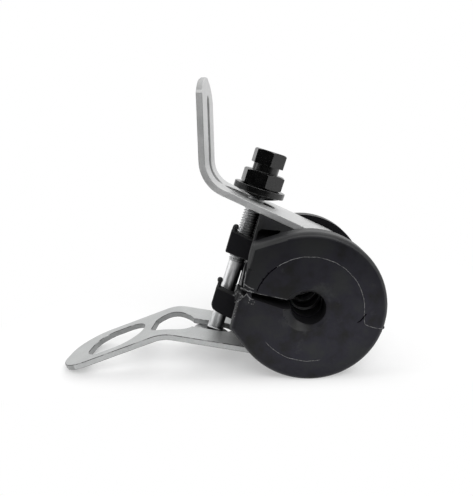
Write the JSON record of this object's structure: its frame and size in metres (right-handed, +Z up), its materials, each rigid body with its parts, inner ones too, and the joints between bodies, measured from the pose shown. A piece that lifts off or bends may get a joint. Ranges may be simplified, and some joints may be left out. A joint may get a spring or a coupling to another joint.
{
  "type": "j-hook suspension clamp",
  "caption": "Cable suspension clamp: a bent steel strap wraps a slotted rubber bushing and is drawn shut by a bolt with a shear nut.",
  "frame": {"origin": "centre of the cable bore, half way along the bushing", "axes": "+Y along the cable bore, +Z up as the clamp stands on its flanges and toe, +X away from the bolt"},
  "size_m": [0.1528, 0.06, 0.1307],
  "materials": {
    "galvanised_steel": "satin",
    "black_elastomer": "satin",
    "zinc_plated_steel": "semi-gloss",
    "black_coated_steel": "satin"
  },
  "bodies": {
    "root": {"strap": "galvanised_steel", "bushing": "black_elastomer", "bolt": "zinc_plated_steel"},
    "washer": {"seat_washer": "black_coated_steel"},
    "nut": {"shear_nut": "black_coated_steel"}
  },
  "joints": [
    {"name": "washer_slide", "type": "slide", "parent": "root", "child": "washer", "axis": [0.3643, 0, 0.9313], "range_m": [-0.0008, 0.00375]},
    {"name": "nut_turn", "type": "hinge", "parent": "washer", "child": "nut", "pos_m": [-0.0161, 0, 0.05272], "axis": [0.3643, 0, 0.9313], "range_deg": [-230, 1080]}
  ],
  "couplings": [
    {"joint": "nut_turn", "follows": "washer_slide", "rad_per_m": 5026.5}
  ]
}
